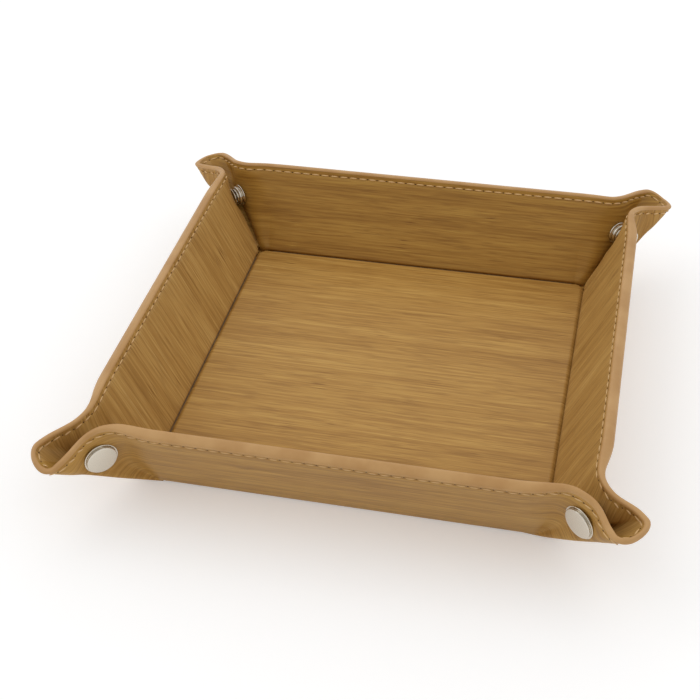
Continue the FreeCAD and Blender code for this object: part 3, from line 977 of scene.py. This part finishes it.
socket_profile = ([(0, face_in)] + arc(socket_radius, face_in - socket_rim, socket_rim, 90, -60)
                  + [(socket_radius - 0.5 * mm, face_in - 1.0 * mm)]
                  + arc(socket_radius - 0.75 * mm, face_in - 1.9 * mm, 0.75 * mm, 80, -80)
                  + arc(socket_radius - 1.3 * mm, socket_mouth + socket_rim, socket_rim, 30, -150)
                  + [(socket_bore, socket_mouth + 0.6 * mm), (socket_bore, socket_floor), (0, socket_floor)])
stud_profile = ([(0, face_in)] + arc(stud_radius - stud_rim, face_in - stud_rim, stud_rim, 90, -90)
                + [(2.6 * mm, face_in - 0.6 * mm), (1.7 * mm, face_in - 0.9 * mm), (1.65 * mm, -0.1 * mm)]
                + arc(1.25 * mm, -0.3 * mm, 0.6 * mm, 40, -60) + [(0, -1.0 * mm)])
post_profile = ([(0, rivet_end), (rivet, rivet_end), (rivet, face_out)]
                + arc(post_radius - post_rim, face_out + post_rim, post_rim, -90, 80, 8)
                + [(1.9 * mm, face_out + 1.0 * mm), (1.4 * mm, face_out + 0.55 * mm),
                   (0, face_out + 0.5 * mm)])
for corner in ("front_left", "front_right", "back_left", "back_right"):
    front, side = corner.split("_")
    away = np.array([-1 if side == "right" else 1, 1 if front == "back" else -1, 0]) / math.sqrt(2)
    halves = {wall: end for (wall, end), name in CORNER.items() if name == corner}
    seats = {wall: ear_seat(wall, end) for wall, end in halves.items()}
    middle = (seats[front][0] + seats[side][0]) / 2
    for part, profile, wall, way in (("cap", cap_profile, front, 1), ("socket", socket_profile, front, 1),
                                     ("stud", stud_profile, side, -1), ("post", post_profile, side, -1)):
        spot, axis = middle, away * way
        if part in ("cap", "post"):
            axis = seats[wall][1]
            spot = seats[wall][0] - axis * face_out
        piece = turned_piece(f"{corner}_{part}_metal", profile, spot, axis)
        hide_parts(f"{corner}_snap_{part}")
        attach(piece, f"{corner}_ear_{wall}")

# The boards: grey-brown fibreboard that stiffens the base and the walls.
# Each is cut short of every crease and glued in between cover and lining, where it is hidden.
board_finish, board_shader, board_start = new_finish("fibreboard", Roughness=0.9)
board_spot = board_start.node("ShaderNodeTexCoord", {}, {}, 3)
board_grain = board_start.node("ShaderNodeTexNoise", {}, {
    "Vector": board_spot, "Scale": 700.0, "Detail": 4.0})
plug(board_grain.mixed((*rgb(112, 92, 70), 1), (*rgb(150, 128, 102), 1)), board_shader, "Base Color")
for wall in ("base", *WALL_SPIN):
    board = bpy.data.objects[wall + "_board"]
    board.data.materials.clear()
    board.data.materials.append(board_finish)

# Studio: a pale floor under soft light, and the camera where the photograph was taken.
camera_azimuth = math.radians(14.052)
camera_height = math.radians(38.579)
camera_roll = math.radians(-1.905)
camera_distance, camera_aside, camera_above = 532.0, -13.5, 10.73
back = Vector((math.sin(camera_azimuth) * math.cos(camera_height),
               -math.cos(camera_azimuth) * math.cos(camera_height), math.sin(camera_height)))
right = Vector((math.cos(camera_azimuth), math.sin(camera_azimuth), 0))
up = back.cross(right)
eye = back * camera_distance * mm + right * camera_aside * mm + up * camera_above * mm
tilted_right = right * math.cos(camera_roll) + up * math.sin(camera_roll)
tilted_up = up * math.cos(camera_roll) - right * math.sin(camera_roll)
camera = bpy.data.objects.new("camera", bpy.data.cameras.new("camera"))
camera.data.lens = 69.131
camera.data.sensor_width = 36
turned = Matrix((tilted_right, tilted_up, back)).transposed().to_4x4()
camera.matrix_world = Matrix.Translation(eye) @ turned
bpy.context.scene.collection.objects.link(camera)
bpy.context.scene.camera = camera

floor_half = 3
floor_level = -0.2 * mm
floor_corners = [(-floor_half, -floor_half, floor_level), (floor_half, -floor_half, floor_level),
                 (floor_half, floor_half, floor_level), (-floor_half, floor_half, floor_level)]
floor = mesh_piece("floor", floor_corners, [(0, 1, 2, 3)])
pale = (0.9, 0.9, 0.9, 1)
floor_finish, floor_shader, floor_start = new_finish("pale_floor", Base_Color=pale, Roughness=0.9)
seen_floor = floor_start.node("ShaderNodeBsdfPrincipled", {}, {
    "Base Color": pale, "Roughness": 0.9, "Emission Color": (1, 1, 1, 1), "Emission Strength": 0.27})
rays = [floor_start.node("ShaderNodeLightPath", {}, {}, kind)
        for kind in ("Is Camera Ray", "Is Glossy Ray", "Is Transmission Ray")]
seen = floor_start.math("MINIMUM", rays[0] + rays[1] + rays[2], 1.0)
floor_mix = floor_start.node("ShaderNodeMixShader", {}, {
    0: seen, 1: Wire(floor_finish.node_tree, floor_shader.outputs[0]), 2: seen_floor})
floor_output = floor_finish.node_tree.nodes["Material Output"]
floor_finish.node_tree.links.new(floor_mix.socket, floor_output.inputs["Surface"])
floor.data.materials.append(floor_finish)

for name, watts, spot in (("back_softbox", 1.9, (0, 0.95, 0.95)), ("right_softbox", 2.0, (0.95, 0, 0.95)),
                          ("left_softbox", 3.3, (-0.95, 0, 0.95))):
    softbox = bpy.data.objects.new(name, bpy.data.lights.new(name, "AREA"))
    softbox.data.energy = watts
    softbox.data.size = 1.2
    softbox.location = spot
    softbox.rotation_euler = Vector(spot).to_track_quat("Z", "Y").to_euler()
    bpy.context.scene.collection.objects.link(softbox)
world = bpy.data.worlds.new("studio")
world.use_nodes = True
world.node_tree.nodes["Background"].inputs["Color"].default_value = (1, 1, 1, 1)
world.node_tree.nodes["Background"].inputs["Strength"].default_value = 0.635
bpy.context.scene.world = world
bpy.context.scene.view_settings.view_transform = "Standard"
